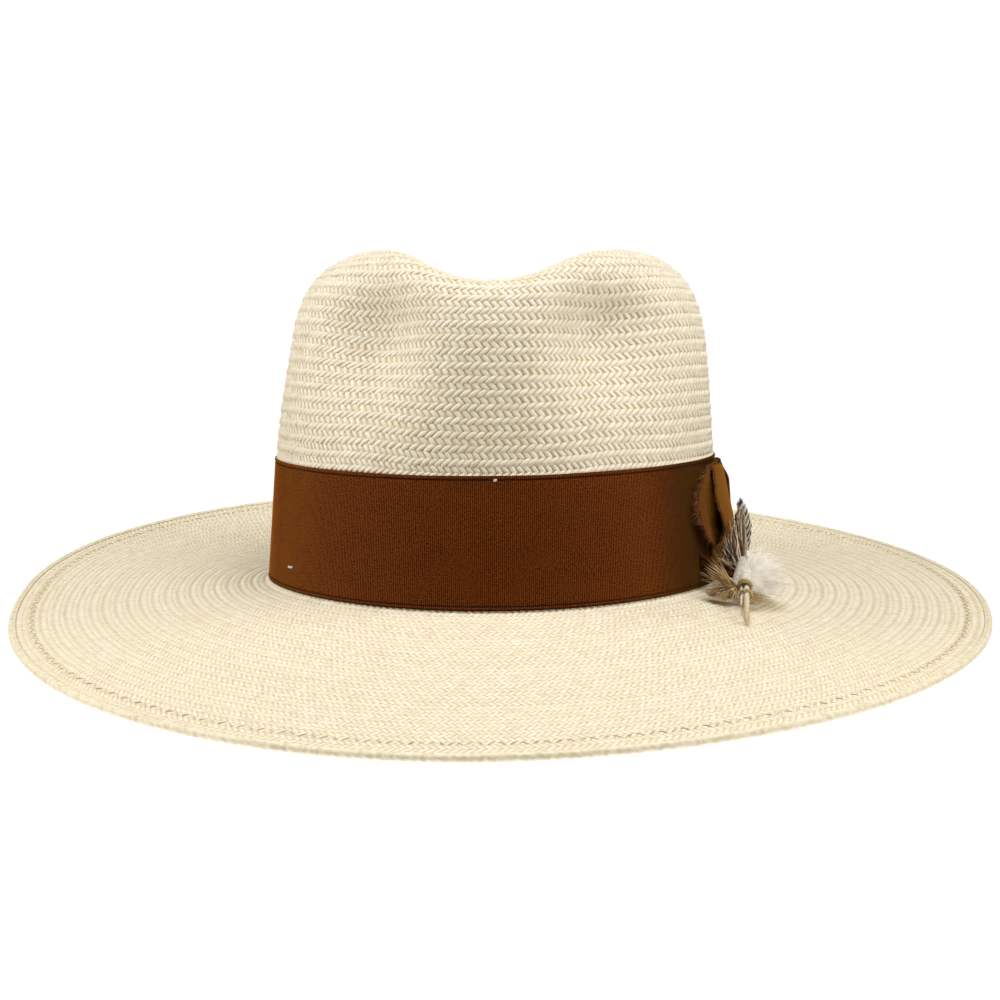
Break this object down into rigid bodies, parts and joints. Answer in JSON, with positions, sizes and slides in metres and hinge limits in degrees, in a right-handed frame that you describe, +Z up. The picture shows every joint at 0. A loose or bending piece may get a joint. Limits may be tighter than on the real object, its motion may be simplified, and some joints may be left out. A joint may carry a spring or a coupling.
{
  "type": "panama hat",
  "caption": "Wide-brimmed woven straw hat with a teardrop crown, snap brim, brown ribbon band, raw-edged side bow and a pull-out feather spray.",
  "frame": {"origin": "centre of the head opening, in the plane where the brim breaks from the crown", "axes": "+Z up through the crown; the wearer looks along -Y; +X is the wearer's left, where the bow is"},
  "size_m": [0.3905, 0.4084, 0.1732],
  "materials": {
    "straw": "herringbone woven straw, satin",
    "spring_wire": "drawn spring wire",
    "straw_thread": "twisted thread",
    "band_ribbon": "ribbed grosgrain, dull",
    "leaf_ribbon": "ribbed grosgrain with raw frayed edges",
    "white_down": "soft down",
    "golden_down": "soft tuft",
    "barred_vane": "barred feather vane",
    "brown_vane": "striped feather vane",
    "quill": "horn-like, satin",
    "leather": "smooth roan leather",
    "reed": "clear plastic reed",
    "reed_tape": "plain woven tape"
  },
  "bodies": {
    "hat": {"straw_body": "straw", "brim_hem": "straw", "brim_wire": "spring_wire", "brim_stitching": "straw_thread", "hat_band": "band_ribbon", "band_tack_1": "straw_thread", "band_tack_2": "straw_thread", "band_tack_3": "straw_thread", "band_tack_4": "straw_thread", "bow_backing": "band_ribbon", "bow_inner_leaf": "leaf_ribbon", "bow_outer_leaf": "leaf_ribbon", "bow_rear_tail": "leaf_ribbon", "bow_knot": "band_ribbon", "quill_keeper": "white_down", "keeper_tab": "band_ribbon", "golden_tuft": "golden_down", "sweatband": "leather", "sweatband_reed": "reed", "reed_tape": "reed_tape", "sweatband_stitching": "straw_thread", "rear_bow_left_loop": "band_ribbon", "rear_bow_right_loop": "band_ribbon", "rear_bow_knot": "band_ribbon"},
    "feather_spray": {"quill_long": "quill", "quill_short": "quill", "plume_knot": "white_down", "barred_feather": "barred_vane", "hackle_feather": "brown_vane", "marabou_fluff": "white_down"}
  },
  "joints": [
    {"name": "feather_pull_out", "type": "slide", "parent": "hat", "child": "feather_spray", "axis": [0, 0.92, 0.392], "range_m": [0, 0.055]}
  ]
}
